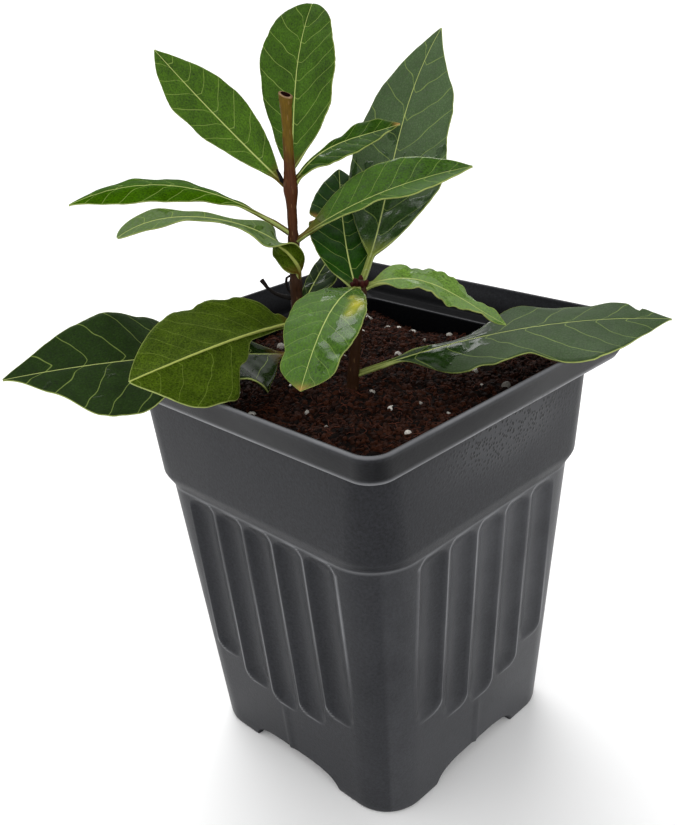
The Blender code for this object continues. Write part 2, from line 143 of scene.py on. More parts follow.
SHOOT_LEAVES = {
    "leaf_shoot_middle": dict(
        base=127, tip=(-21, 16, 149.5), lift=(0, 0), swing=(-2, -1), width=19, roll=(0,), stalk=0.06,
        widest=0.48, left=(0.85, 0.9, 1), right=(0.85, 0.95, 1), tones=("#0a2400", "#183c00", 0.2, 0.01),
        film=((0.3, 0, 0.3, 2, -0.3), (0.78, 0.5, 0.12, 0.5, 0.4)), marks=((0.56, -0.95, 0.03, 0.12, 1),),
        nicks_left=((0.56, 0.02, 0.25),)),
    "leaf_shoot_right": dict(
        base=129, tip=(33.5, 13.6, 119.1), lift=(11, 2.5), width=13, roll=(25,), wave=0.9,
        left=(1, 0.8, 0.62, 0.6, 0.8), right=(0.6, 0.6, 0.75, 0.6, 0.6),
        tones=("#3a5c16", "#6a8c38", 0.4, 0.35),
        nicks_left=tuple((0.24 + 0.085 * k, 0.022, 0.13) for k in range(8)),
        nicks_right=tuple((0.3 + 0.1 * k, 0.025, 0.15) for k in range(6))),
    "leaf_shoot_front": dict(
        base=129.5, tip=(24, -43, 119.3), lift=(8, 6), width=18.5, roll=(0,), full=0.9, widest=0.5,
        left=(0.9, 0.9, 0.95, 1.1, 2.4), right=(1.4, 1, 0.9, 0.9, 2),
        tones=("#1f3c04", "#42660e", 0.35, 0.14),
        film=((0.12, 0, 0.12, 1, 0.7), (0.75, -0.65, 0.25, 0.3, 0.6), (0.5, 0, 0.2, 0.4, -0.7),
              (0.75, 0.6, 0.25, 0.4, -0.3)),
        marks=((1, 0, 0.03, 1, 0.8), (0.35, -0.8, 0.07, 0.16, -0.8), (0.25, -0.62, 0.03, 0.12, -0.5),
              (0.45, -0.7, 0.04, 0.1, -0.5))),
    "leaf_shoot_tall": dict(
        base=130, tip=(-11, 46, 181), lift=(-6, -4), swing=(-1, -8.5), width=24, roll=(0,), full=0.9,
        stalk=0.12, left=(0.8, 0.9, 0.9, 0.95, 0.95), right=(1.3, 1.35, 1.15, 1.35, 1.2),
        tones=("#1c3010", "#334c24", 0.25, 0.22),
        film=((0.2, 0, 0.25, 1.2, 0.7), (0.55, -0.25, 0.05, 0.3, 0.6), (0.75, 0, 0.2, 2, -0.4))),
    "leaf_low_right": dict(
        base=108, tip=(60, 42.5, 117.5), lift=(5, 6), width=25, roll=(20, 5, 8), wave=1, fold=-4, widest=0.62,
        full=1.1, left=(0.4, 0.5, 1, 0.95, 1.2), right=(0.3, 2.3, 1.1, 1.5, 1.1),
        tones=("#0e2206", "#243c14", 0.3, 0.18),
        film=((0.3, -0.6, 0.14, 0.5, 0.9), (0.2, 0.4, 0.1, 0.4, 0.6), (0.7, 0, 0.25, 1, -0.5)),
        nicks_left=((0.9, 0.012, 0.5),), nicks_right=((0.33, 0.03, 0.12), (0.5, 0.03, 0.1))),
}

# Kinds of node that are used often, and the settings that they have unless a call says otherwise
MIX, MATH, RANGE, VECTOR = "ShaderNodeMix", "ShaderNodeMath", "ShaderNodeMapRange", "ShaderNodeVectorMath"
NOISE, CELLS, BUMP, ATTRIBUTE = ("ShaderNodeTexNoise", "ShaderNodeTexVoronoi", "ShaderNodeBump",
                                 "ShaderNodeAttribute")
COMBINE, SEPARATE, RANDOM = "ShaderNodeCombineXYZ", "ShaderNodeSeparateXYZ", "FunctionNodeRandomValue"
USUAL = {MIX: {"data_type": "RGBA"}, MATH: {"operation": "MULTIPLY"}, VECTOR: {"operation": "SCALE"}}


def linear(code):
    """An sRGB hex colour as linear RGBA."""
    parts = [int(code[i:i + 2], 16) / 255 for i in (1, 3, 5)]
    return (*[c / 12.92 if c <= 0.04045 else ((c + 0.055) / 1.055) ** 2.4 for c in parts], 1)


def plug(tree, node, inputs):
    """Set or link a node's inputs: a dict goes by name or number, a tuple to the live inputs in order.

    A node given as a value stands for its first live output, and a hex code for its colour.
    """
    if isinstance(inputs, tuple):
        inputs = dict(zip([i for i, socket in enumerate(node.inputs) if socket.enabled], inputs))
    for key, value in inputs.items():
        if isinstance(value, bpy.types.Node):
            value = next(socket for socket in value.outputs if socket.enabled)
        if isinstance(value, bpy.types.NodeSocket):
            tree.links.new(value, node.inputs[key])
        else:
            coded = isinstance(value, str) and value.startswith("#")
            node.inputs[key].default_value = linear(value) if coded else value
    return node


def add(tree, kind, inputs=(), **settings):
    """Add a node, with its settings, and set or link its inputs."""
    made = tree.nodes.new(kind)
    for name, value in {**USUAL.get(kind, {}), **settings}.items():
        setattr(made, name, value)
    return plug(tree, made, inputs)


def finish(name, **sockets):
    """A new material, with the values that are the same all over set on its shader."""
    mat = bpy.data.materials.new(name)
    mat.use_nodes = True
    tree = mat.node_tree
    shader = tree.nodes["Principled BSDF"]
    for key, value in sockets.items():
        shader.inputs[key.replace("_", " ")].default_value = value
    return mat, tree, shader


def paint(mesh, attributes):
    """Give a mesh's points their attributes, numbers or vectors."""
    for key, values in attributes.items():
        flat = values.ndim == 1
        layer = mesh.attributes.new(key, "FLOAT" if flat else "FLOAT_VECTOR", "POINT")
        layer.data.foreach_set("value" if flat else "vector", values.astype(np.float32).ravel())


def bumps(x, y, z):
    """Smooth noise from -1 to 1."""
    return noise.noise(Vector((x, y, z)))


def piece_from(name, points, faces, materials, looks=None, attributes=None):
    """An object from points in millimetres, with a material number for each face and point attributes."""
    mesh = bpy.data.meshes.new(name)
    mesh.from_pydata((np.asarray(points, float) * MM).tolist(), [], faces)
    for mat in materials:
        mesh.materials.append(mat)
    if looks is not None:
        mesh.polygons.foreach_set("material_index", looks)
    paint(mesh, attributes or {})
    mesh.shade_smooth()
    obj = bpy.data.objects.new(name, mesh)
    bpy.context.scene.collection.objects.link(obj)
    return obj


def stack_faces(rings, count):
    """Faces between rings of equally many points, and one over each end."""
    faces = [(a + i, a + (i + 1) % count, a + (i + 1) % count + count, a + i + count)
             for a in range(0, (rings - 1) * count, count) for i in range(count)]
    return faces + [tuple(range(count))[::-1], tuple(range((rings - 1) * count, rings * count))]


def outward(obj):
    """Turn the faces of a closed piece outwards."""
    bm = bmesh.new()
    bm.from_mesh(obj.data)
    bmesh.ops.recalc_face_normals(bm, faces=bm.faces)
    bm.to_mesh(obj.data)
    bm.free()


def settle(obj, slot, *nodes):
    """Ride on the plant's one body and stand for CAD nodes; the slot is not used."""
    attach(obj, BODY)
    if nodes:
        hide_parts(*nodes)


# Pot

def pot_plastic():
    # Injection moulded polypropylene, dyed black: charcoal with a satin, sand grained skin that mirrors the
    # floor faintly. Its edges and ridges carry painted highlights and its flutes and the faces that look
    # along x painted light, watering has left dried splashes on one side, and its inside and the band under
    # the rim are painted dark as painted shade.
    mat, tree, shader = finish("moulded black polypropylene", IOR=1.49)
    where = add(tree, "ShaderNodeTexCoord").outputs["Object"]
    painted_marks, wetted = (add(tree, ATTRIBUTE, attribute_name=key).outputs["Fac"] for key in ("painted_light", "splash"))
    cloud = add(tree, NOISE, (where, 38, 5, 0.62))
    grain = add(tree, NOISE, (where, 1500, 3, 0.7))
    broad = add(tree, MIX, (cloud, "#141519", "#222327"))
    fine = add(tree, RANGE, (grain, 0.3, 0.7, 0.55, 1.5))
    # painted shade: where the painted light is below 0 the skin is darkened, down to a fifth
    painted_shade_factor = add(tree, RANGE, (painted_marks, -1, 0, 0.2, 1))
    skin = add(tree, VECTOR, (broad, add(tree, MATH, (fine, painted_shade_factor))))
    glint = add(tree, MATH, (painted_shade_factor, 0.16))
    # painted highlights and painted light: where it is above 0 the skin is mixed towards pale grey
    painted_highlight = add(tree, MATH, (add(tree, MATH, (cloud, painted_marks)), 1.7), use_clamp=True)
    highlighted = add(tree, MIX, (painted_highlight, skin, "#87888b"))
    drop = add(tree, CELLS, (where, 1000))
    dots = add(tree, MATH, (add(tree, RANGE, (drop, 0.25, 0.5, 1, 0)), wetted))
    hazy = add(tree, MIX, (add(tree, MATH, (wetted, 0.12)), highlighted, "#87888b"))
    final = add(tree, MIX, (dots, hazy, "#0b0b0d"))
    rough = add(tree, RANGE, (cloud, 0.35, 0.7, 0.36, 0.48))
    height = add(tree, MATH, (dots, 1.5, grain), operation="MULTIPLY_ADD")
    bump = add(tree, BUMP, {"Height": height, "Strength": 0.5, "Distance": 0.0001})
    plug(tree, shader, {"Base Color": final, "Roughness": rough, "Specular IOR Level": glint, "Normal": bump})
    return mat


def painted_light_and_splash(x, y, z, outward):
    """How much painted light the pot has at one place in millimetres, and how splashed it is there: above 0
    painted highlights and painted light, below 0 painted shade.

    Outward is the share of the surface's direction that points away from the pot's axis.
    """
    on_y = abs(y) >= abs(x)     # on one of the two faces that look along y
    across = x if on_y else y
    if max(-y, x) != max(abs(x), abs(y)):
        across = -across
    k = nearest_flute(across)
    outside = outward > 0.2
    painted_light = 0.0
    if outside and z < FLUTE_HEAD + 0.6:
        # a painted highlight runs along a ridge where it turns over a flute's upper corner nearer to the
        # front corner of the pot and round the next flute's lower corner; painted light lies in the same
        # halves of the flutes
        lean = (across - k * FLUTE_PITCH) / FLUTE_HALF * (1 if on_y else -1)
        end = min(1, max(-1, (z - 48) / 14))
        inside = flute_inside(across, z, k)
        painted_light = 0.75 * min(1, max(0, 0.55 + 0.6 * lean * end)) * exp(-((inside + 0.45) / 0.2) ** 2)
        # painted light: the faces that look along x are painted lighter, more strongly towards one end of
        # each
        painted_side_light = (0.04, 0.05) if on_y else (0.17 + 0.0022 * across * (1 if x > 0 else -1), 0.1)
        painted_light += painted_side_light[0] + painted_side_light[1] * min(1, max(-1, lean)) * min(1, max(0, inside))
    if outside and 105.9 < z < 113.2:
        # painted shade: the band under the rim is darkened, a little less on the faces that look along y
        painted_light = -(0.68 if on_y else 0.8) * min(1, (z - 105.9) / 0.4)
    # painted highlights: pale lines along the shoulder, the band's lower edge and the top of the lip
    for height, reach, strength in ((77.2, 0.35, 0.45), (105.35, 0.45, 0.9), (113.8, 0.3, 0.6)):
        painted_light = max(painted_light, strength * exp(-((z - height) / reach) ** 2) * outside, key=abs)
    # inside: a painted highlight along the ledge's lip, and painted shade that darkens the inner walls and
    # floor below the rim
    if not outside and z > FLOOR_TOP:
        lip = exp(-((z - 106.1) / 0.12) ** 2 - ((max(abs(x), abs(y)) - COLLAR_TOP_HALF + 0.9) / 0.25) ** 2)
        painted_light = 1.3 * lip - min(1, max(0, (111.5 - z) / 1.5))
    splash = 0.0
    if x > 39 and z > 78:
        splash = min(1, 1.5 * exp(-((y - 5) / 20) ** 2 - ((z - 98) / 7) ** 2))
    return painted_light, splash


def nearest_flute(across):
    """Number of the flute that lies nearest to a place of a face; the middle one is 0."""
    return max(-(FLUTES // 2), min(FLUTES // 2, round(across / FLUTE_PITCH)))


def flute_depth(across, z):
    """How deep the flutes are pressed in at one place of a face: a bowl inside a rounded outline."""
    inside = flute_inside(across, z, nearest_flute(across))
    return FLUTE_DEPTH * (1 - (1 - min(max(inside / FLUTE_HALF, 0), 1)) ** 1.8)


def flute_inside(across, z, k):
    """How far a place of a face lies inside the rounded outline of its flute k; below 0 outside it."""
    side = FLUTE_HALF - abs(across - k * FLUTE_PITCH)
    end = min(z - FLUTE_FOOT - FLUTE_FOOT_RISE * k * k, FLUTE_HEAD - z)
    if side < FLUTE_ROUND and end < FLUTE_ROUND:
        return FLUTE_ROUND - hypot(FLUTE_ROUND - side, FLUTE_ROUND - end)
    return min(side, end)


def rib_height(across, z):
    """A low moulded rib from below the middle flute to the notch, steep on one side."""
    x = across + 1.2
    if z > RIB_TOP or x < -RIB_STEEP or x > RIB_WIDTH:
        return 0.0
    rise = min((RIB_TOP - z) / 3, 1)
    return 0.45 * rise * (min((x + RIB_STEEP) / RIB_STEEP, 1) if x < 0 else 1 - x / RIB_WIDTH)


def face_places():
    """Places across a face where it has points: round each flute and on the ridges."""
    places = set()
    for k in range(FLUTES):
        spots = [-FLUTE_HALF * cos(pi * i / 14) for i in range(15)]
        spots += [0.25 - FLUTE_PITCH / 2, FLUTE_PITCH / 2 - 0.25, FLUTE_PITCH / 2]
        places.update(round((k - FLUTES // 2) * FLUTE_PITCH + spot, 3) for spot in spots)
    return sorted(places)


def pot_ring(half, corner, z, fluted=False, share=1.0, corner_points=13):
    """A rounded square at height z with the flutes and ribs, drawn smaller by share for a floor."""
    flat = half - corner
    places = face_places()
    last = places[-1] + 0.8
    start = degrees(asin(min(1, max(0, (last - flat) / corner)))) if last > flat else 0
    ring = []
    for side in range(4):
        quarter = []
        for x in places:
            over = max(0, abs(x) - flat)
            y = flat + sqrt(max(0, corner ** 2 - over ** 2))
            if fluted:
                y += rib_height(x, z) - flute_depth(x, z)
            quarter.append((x, -y))
        for k in range(corner_points):
            a = radians(start + (90 - 2 * start) * k / (corner_points - 1))
            quarter.append((flat + corner * sin(a), -flat - corner * cos(a)))
        turn = side * pi / 2
        ring += [((x * cos(turn) - y * sin(turn)) * share, (x * sin(turn) + y * cos(turn)) * share, z)
                 for x, y in quarter]
    return ring


def arc(half, corner, z, radius, start, stop, steps):
    """Stations of a rounded edge about (half, z), from one angle to another; 0 is outwards, 90 is up."""
    out = []
    for k in range(steps + 1):
        a = radians(start + (stop - start) * k / steps)
        out.append((half + radius * cos(a), corner + radius * cos(a), z + radius * sin(a)))
    return out


def blend(low, high, e):
    return tuple(a + (b - a) * e for a, b in zip(low, high))


def pot_stations():
    """Half width, corner radius and height from the underside, up the outside and down to the floor."""
    stations = [(FOOT_HALF, FOOT_CORNER, 0, False, share) for share in (0.12, 0.4, 0.7, 0.9)]
    stations += arc(FOOT_HALF - 1.2, FOOT_CORNER - 1.2, 1.2, 1.2, -90, -10, 4)
    heights = [*np.linspace(1.6, 17, 10), *np.linspace(17.5, 36, 44), *np.linspace(37.5, 69, 20),
               *np.linspace(70, 76.9, 19)]
    shoulder = SHOULDER_HALF, SHOULDER_CORNER
    stations += [(*blend((FOOT_HALF, FOOT_CORNER), shoulder, float(z) / SHOULDER_Z), float(z), True)
                 for z in heights]
    for e in (k / 10 for k in range(1, 11)):
        ease = e * e * (3 - 2 * e)
        stations.append((*blend((SHOULDER_HALF + 0.05, SHOULDER_CORNER), (COLLAR_HALF, COLLAR_CORNER), ease),
                         SHOULDER_Z + 0.4 + 4.2 * e))
    stations += [blend((COLLAR_HALF, COLLAR_CORNER, 81.1), (COLLAR_TOP_HALF, COLLAR_TOP_CORNER, 104.6), k / 8)
                 for k in range(1, 9)]
    stations += [(COLLAR_TOP_HALF + 0.4, COLLAR_TOP_CORNER, BAND_Z),
                 (BAND_HALF - 1.4, BAND_CORNER - 0.5, BAND_Z)]
    stations += arc(BAND_HALF - 0.75, BAND_CORNER - 0.7, BAND_Z + 0.75, 0.75, -90, -20, 5)
    stations += [blend((BAND_HALF, BAND_CORNER, BAND_Z + 0.5), (RIM_HALF, RIM_CORNER, POT_HEIGHT - 0.5),
                       k / 6) for k in range(1, 6)]
    stations += arc(RIM_HALF - 0.6, RIM_CORNER - 0.6, POT_HEIGHT - 0.6, 0.6, 0, 180, 8)
    # inside: the rim's wall, the ledge, the collar's wall, the tub's wall and the floor
    ledge = COLLAR_TOP_HALF - WALL
    floor = FOOT_HALF - FLUTE_DEPTH - WALL, FOOT_CORNER - 2, FLOOR_TOP
    stations += [(RIM_HALF - WALL - 0.6, RIM_CORNER - 1, 112),
                 (RIM_HALF - WALL - 2.4, BAND_CORNER - 0.8, 107.4),
                 (BAND_HALF - WALL + 0.2, BAND_CORNER - 0.8, 106.5),
                 (BAND_HALF - WALL - 0.4, BAND_CORNER - 0.8, 106.2), (ledge + 1.0, COLLAR_TOP_CORNER, 106.2)]
    stations += arc(ledge + 0.5, COLLAR_TOP_CORNER, 105.7, 0.5, 90, 180, 3)
    stations += [(ledge, COLLAR_TOP_CORNER - 0.8, 102), (ledge - 0.3, COLLAR_TOP_CORNER - 0.8, 96),
                 (COLLAR_HALF - WALL, COLLAR_CORNER - 0.8, COLLAR_Z + 1),
                 (SHOULDER_HALF - FLUTE_DEPTH - WALL, SHOULDER_CORNER - 2, SHOULDER_Z), floor]
    return stations + [(*floor, False, share) for share in (0.7, 0.4, 0.12)]


def bar(name, low, high):
    """A closed bar between two outlines, to cut with."""
    made = piece_from(name, [*low, *high], stack_faces(2, len(low)), [])
    outward(made)
    return made


def notch_cutter(side):
    """An arched bar that cuts one notch in the foot."""
    places = [-cos(pi * k / 24) for k in range(25)]
    arch = [(-NOTCH_HALF, -1.0), *((NOTCH_HALF * x, NOTCH_HEIGHT * (1 - x ** 4) ** 0.5) for x in places),
            (NOTCH_HALF, -1.0)]
    cutter = bar(f"notch_{side}", *([(x, y, z) for x, z in arch]
                                    for y in (-FOOT_HALF - 3, -FOOT_HALF + NOTCH_DEPTH)))
    cutter.data.transform(Matrix.Rotation(side * pi / 2, 4, "Z"))
    return cutter


def drain_cutter(side):
    """A round bar that cuts one drain hole behind a notch."""
    turn = side * pi / 2
    x, y = DRAIN_OUT * sin(turn), -DRAIN_OUT * cos(turn)
    ring = [(x + DRAIN_RADIUS * cos(pi * k / 16), y + DRAIN_RADIUS * sin(pi * k / 16)) for k in range(32)]
    return bar(f"drain_{side}", *([(*spot, NOTCH_HEIGHT + rise) for spot in ring] for rise in (-3, 3)))


def make_pot():
    stations = pot_stations()
    points = [p for station in stations for p in pot_ring(*station)]
    faces = stack_faces(len(stations), len(points) // len(stations))
    pot = piece_from("nursery_pot", points, faces, [pot_plastic()])
    outward(pot)
    cutters = bpy.data.collections.new("pot_cutters")
    for side in range(4):
        for cutter in (notch_cutter(side), drain_cutter(side)):
            cutters.objects.link(cutter)
    cut = pot.modifiers.new("foot", "BOOLEAN")
    cut.operand_type = "COLLECTION"
    cut.solver = "MANIFOLD"
    cut.collection = cutters
    mesh = bpy.data.meshes.new_from_object(pot.evaluated_get(bpy.context.evaluated_depsgraph_get()))
    pot.modifiers.clear()
    pot.data = mesh
    # the painted light and shade of each point, and its splashes
    painted_marks = np.array([painted_light_and_splash(*(v.co / MM), v.normal.xy.dot(v.co.xy.normalized())) for v in mesh.vertices],
                    np.float32)
    paint(mesh, {"painted_light": painted_marks[:, 0], "splash": painted_marks[:, 1]})
    mesh.shade_smooth()
    mesh.set_sharp_from_angle(angle=radians(50))
    for cutter in list(cutters.objects):
        bpy.data.objects.remove(cutter, do_unlink=True)
    bpy.data.collections.remove(cutters)
    settle(pot, "pot_plastic", "pot")


# Potting mix

def mix_height(x, y):
    """Top of the potting mix: lumpy, heaped at the stems and sunk along the far wall."""
    z = 103.3 + 0.7 * sin(x / 9 + 1) * cos(y / 8) + 1.6 * bumps(x / 11, y / 11, 3)
    z += 0.9 * bumps(x / 4, y / 4, 7) + 0.35 * bumps(x / 1.6, y / 1.6, 1)
    z -= 4 * np.exp(-((x + 18) / 17) ** 2 - ((y - 40) / 9) ** 2)
    for stem in STEMS.values():
        z += 0.8 * np.exp(-((x - stem["low"].x) ** 2 + (y - stem["low"].y) ** 2) / 60)
    return min(z, 104.9)


def round_in(u, v, half, corner):
    """Map a point of the square from -1 to 1 into a rounded square."""
    m = max(abs(u), abs(v))
    if m == 0:
        return 0.0, 0.0
    x, y = abs(u) / m * half, abs(v) / m * half
    flat = half - corner
    share = 1.0
    if min(x, y) > flat * max(x, y) / half and min(x, y) / max(x, y) * half > flat:
        length = hypot(x, y)
        dx, dy = x / length, y / length
        along = (dx + dy) * flat
        reach = along + sqrt(max(0, along ** 2 - 2 * flat ** 2 + corner ** 2))
        share = reach / length
    scale = half * (1 - (1 - share) * m ** 4)
    return u * scale, v * scale


def mix_finish():
    # Peat and coir with fine bark, watered: near black where its surface sinks, red brown where it rises,
    # dull.
    mat, tree, shader = finish("damp peat and coir", Roughness=0.92, Specular_IOR_Level=0.05)
    where = add(tree, "ShaderNodeTexCoord").outputs["Object"]
    lumps = add(tree, NOISE, (where, 260, 6, 0.7))
    grit = add(tree, CELLS, (where, 900))
    dark = add(tree, MIX, (grit, "#080605", "#150f0d"))
    colour = add(tree, MIX, (add(tree, RANGE, (lumps, 0.48, 0.7)), dark, "#22150f"))
    bump = add(tree, BUMP, {"Height": lumps, "Strength": 0.9, "Distance": 0.0008})
    plug(tree, shader, {"Base Color": colour, "Normal": bump})
    return mat


def shade_finish(name, dark, light, grain, **sockets):
    """A finish between two colours by each scrap's own shade, broken up by a fine noise."""
    mat, tree, shader = finish(name, **sockets)
    where = add(tree, "ShaderNodeTexCoord").outputs["Object"]
    own = add(tree, ATTRIBUTE, attribute_name="shade").outputs["Fac"]
    fleck = add(tree, NOISE, (where, grain, 4))
    tone = add(tree, MATH, (fleck, 0.7, own), operation="MULTIPLY_ADD")
    colour = add(tree, MIX, (add(tree, RANGE, (tone, 0.25, 1.35)), dark, light))
    bump = add(tree, BUMP, {"Height": fleck, "Strength": 0.6, "Distance": 0.0003})
    plug(tree, shader, {"Base Color": colour, "Normal": bump})
    return mat


def strew_tree(name, *sockets):
    """A new Geometry Nodes tree and its inputs: the ones that all strewing needs, and some more."""
    tree = bpy.data.node_groups.new(name, "GeometryNodeTree")
    tree.interface.new_socket("Geometry", in_out="OUTPUT", socket_type="NodeSocketGeometry")
    for label, kind in (("Geometry", "Geometry"), ("Per square metre", "Float"), *sockets, ("Seed", "Int"),
                        ("Finish", "Material")):
        tree.interface.new_socket(label, in_out="INPUT", socket_type="NodeSocket" + kind)
    return tree, tree.nodes.new("NodeGroupInput").outputs


def strew(tree, given, item, scale, least_turn, greatest_turn, seed):
    """Set an item on random spots of the surface, turned at random and each with its own shade."""
    spots = add(tree, "GeometryNodeDistributePointsOnFaces",
                {"Mesh": given["Geometry"], "Density": given["Per square metre"], "Seed": given["Seed"]})
    turn = add(tree, RANDOM, {0: least_turn, 1: greatest_turn, "Seed": seed}, data_type="FLOAT_VECTOR")
    angle = add(tree, "FunctionNodeEulerToRotation", (turn,))
    strewn = add(tree, "GeometryNodeInstanceOnPoints",
                 {"Points": spots, "Instance": item, "Scale": scale, "Rotation": angle})
    shade = add(tree, RANDOM, {2: 0.0, 3: 1.0, "Seed": seed + 1})
    return add(tree, "GeometryNodeStoreNamedAttribute", {"Geometry": strewn, "Name": "shade", "Value": shade},
               data_type="FLOAT", domain="INSTANCE")


def shake(tree, geometry, scale, amount):
    """Realize what was strewn and push its points about by a noise."""
    real = add(tree, "GeometryNodeRealizeInstances", {"Geometry": geometry})
    here = add(tree, "GeometryNodeInputPosition")
    cloud = add(tree, NOISE, (here, scale, 1)).outputs["Color"]
    centred = add(tree, VECTOR, (cloud, (0.5, 0.5, 0.5)), operation="SUBTRACT")
    return add(tree, "GeometryNodeSetPosition",
               {"Geometry": real, "Offset": add(tree, VECTOR, (centred, amount))})


def give_out(tree, given, geometry):
    look = add(tree, "GeometryNodeSetMaterial", {"Geometry": geometry, "Material": given["Finish"]})
    add(tree, "NodeGroupOutput", {0: look})
    return tree


def lump_tree():
    """Geometry Nodes: lumps of random size and turn strewn over a surface."""
    floats = ("Least size", "Greatest size", "Flatness", "Unevenness", "Sink")
    tree, given = strew_tree("strew lumps", *((label, "Float") for label in floats), ("Detail", "Int"))
    lump = add(tree, "GeometryNodeMeshIcoSphere", {"Radius": 0.5, "Subdivisions": given["Detail"]})
    small, third = (add(tree, RANDOM, {2: given["Flatness"], 3: 1.0, "Seed": seed})
                    for seed in (given["Seed"], 12))
    size = add(tree, RANDOM, {2: given["Least size"], 3: given["Greatest size"], "Seed": 11})
    scale = add(tree, VECTOR, (add(tree, COMBINE, (1.0, small, third)), size))
    strewn = strew(tree, given, lump, scale, (0, 0, 0), (6.283, 6.283, 6.283), 13)
    down = add(tree, COMBINE, {"Z": given["Sink"]})
    sunk = add(tree, "GeometryNodeTranslateInstances",
               {"Instances": strewn, "Translation": down, "Local Space": False})
    return give_out(tree, given, shake(tree, sunk, 1300, given["Unevenness"]))


def fibre_tree():
    """Geometry Nodes: short bent fibres lying over a surface."""
    tree, given = strew_tree("strew fibres", ("Length", "Float"), ("Thickness", "Float"))
    line = add(tree, "GeometryNodeCurveQuadraticBezier",
               {"Resolution": 6, "Start": (-0.5, 0, 0), "Middle": (0.05, 0.3, 0.12), "End": (0.5, -0.1, 0)})
    length = add(tree, MATH, (add(tree, RANDOM, {2: 0.4, 3: 1.0, "Seed": 21}), given["Length"]))
    size = add(tree, COMBINE, (length, length, length))
    strewn = strew(tree, given, line, size, (-0.5, -0.5, 0), (0.5, 0.5, 6.283), 22)
    ring = add(tree, "GeometryNodeCurvePrimitiveCircle", {"Resolution": 4, "Radius": given["Thickness"]})
    thread = add(tree, "GeometryNodeCurveToMesh",
                 {"Curve": shake(tree, strewn, 420, 0.0016), "Profile Curve": ring, "Fill Caps": True})
    return give_out(tree, given, thread)


def grow(name, ground, tree, **values):
    """A plain piece from a Geometry Nodes tree run on a copy of a ground mesh."""
    obj = bpy.data.objects.new(name, ground.copy())
    bpy.context.scene.collection.objects.link(obj)
    run = obj.modifiers.new("nodes", "NODES")
    run.node_group = tree
    for item in tree.interface.items_tree:
        key = item.name.replace(" ", "_")
        if item.in_out == "INPUT" and key in values:
            run[item.identifier] = values[key]
    mesh = bpy.data.meshes.new_from_object(obj.evaluated_get(bpy.context.evaluated_depsgraph_get()))
    obj.modifiers.clear()
    obj.data = mesh
    mesh.name = name
    return obj


def make_mix():
    steps = 180
    half, corner = 40.45, 8.6
    top = []
    for j in range(steps + 1):
        for i in range(steps + 1):
            x, y = round_in(2 * i / steps - 1, 2 * j / steps - 1, half, corner)
            top.append((x, y, mix_height(x, y)))
    wide = steps + 1
    faces = [(j * wide + i, j * wide + i + 1, (j + 1) * wide + i + 1, (j + 1) * wide + i)
             for j in range(steps) for i in range(steps)]
    ground = bpy.data.meshes.new("mix_ground")
    ground.from_pydata((np.array(top) * MM).tolist(), [], faces)
    edge = [i for i in range(steps)] + [i * wide + steps for i in range(steps)]
    edge += [steps * wide + steps - i for i in range(steps)] + [(steps - i) * wide for i in range(steps)]
    points = list(top)
    rings = [edge]
    for grown, z in (((COLLAR_HALF - WALL - 0.6) / half, COLLAR_Z + 1.6),
                     ((SHOULDER_HALF - FLUTE_DEPTH - WALL - 0.6) / half, SHOULDER_Z),
                     ((FOOT_HALF - FLUTE_DEPTH - WALL - 0.6) / half, FLOOR_TOP + 0.3)):
        rings.append(list(range(len(points), len(points) + len(edge))))
        points += [(top[i][0] * grown, top[i][1] * grown, z) for i in edge]
    for high, low in zip(rings, rings[1:]):
        count = len(edge)
        faces += [(high[i], low[i], low[(i + 1) % count], high[(i + 1) % count]) for i in range(count)]
    faces.append(tuple(rings[-1])[::-1])
    body = piece_from("potting_mix_body", points, faces, [mix_finish()])
    outward(body)
    settle(body, "potting_mix", "potting_mix")

    lumps, fibres = lump_tree(), fibre_tree()
    # Crumbs of peat: dull dark brown, some red brown
    crumb = shade_finish("moist peat crumb", "#030202", "#371a0c", 900, Roughness=0.7,
                         Specular_IOR_Level=0.08)
    settle(grow("peat_crumbs", ground, lumps, Per_square_metre=1.1e6, Least_size=0.0005,
                Greatest_size=0.0023, Flatness=0.5, Unevenness=0.0007, Sink=-0.0001, Detail=1, Seed=3,
                Finish=crumb), "potting_mix")
    # Perlite: puffed volcanic glass, chalk white, matt and pitted
    puffed = shade_finish("perlite", "#6f6a62", "#d6d2ca", 900, Roughness=0.85)
    settle(grow("perlite_grains", ground, lumps, Per_square_metre=8e3, Least_size=0.0005,
                Greatest_size=0.003, Flatness=0.65, Unevenness=0.0007, Sink=0.0001, Detail=2, Seed=8,
                Finish=puffed), "potting_mix")
    # Coir: short red brown threads with a slight sheen
    coir = shade_finish("coir fibre", "#080403", "#522818", 300, Roughness=0.75,
                        Specular_IOR_Level=0.15)
    settle(grow("coir_fibres", ground, fibres, Per_square_metre=3e5, Length=0.004, Thickness=0.00011,
                Seed=5, Finish=coir), "potting_mix")


# Stems

def stem_axis(stem, z):
    low, high = STEMS[stem]["low"], STEMS[stem]["high"]
    return low + (high - low) * ((z - low.z) / (high.z - low.z))


